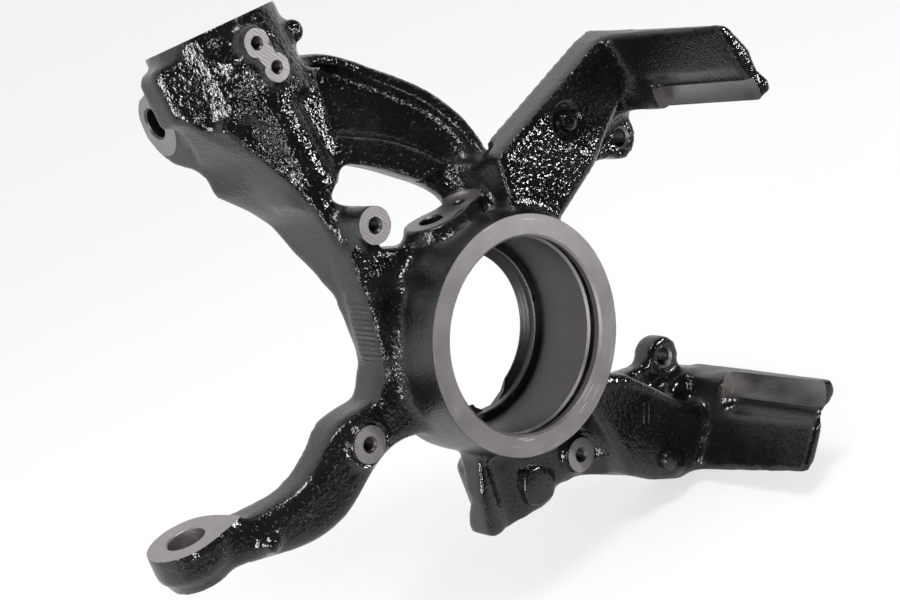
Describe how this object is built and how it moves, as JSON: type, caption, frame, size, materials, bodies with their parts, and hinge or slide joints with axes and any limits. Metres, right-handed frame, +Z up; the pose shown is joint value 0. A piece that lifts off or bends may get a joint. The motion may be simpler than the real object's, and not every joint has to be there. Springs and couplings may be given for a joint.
{
  "type": "steering knuckle",
  "caption": "Cast front wheel carrier with a bearing bore, strut clamp, steering arm, ball joint foot and an integral floating caliper carrier.",
  "frame": {"origin": "the wheel bearing's axis in the hub's outboard ring face", "axes": "+Y inboard along the bearing axis, +Z up the strut side, +X towards the caliper arms, away from the steering arm"},
  "size_m": [0.3045, 0.1746, 0.2864],
  "materials": {
    "casting": "ductile iron casting in gloss black paint over a coarse sand-cast skin, with bare satin machined faces and bores"
  },
  "bodies": {
    "root": {"steering_knuckle": "casting"}
  },
  "joints": []
}
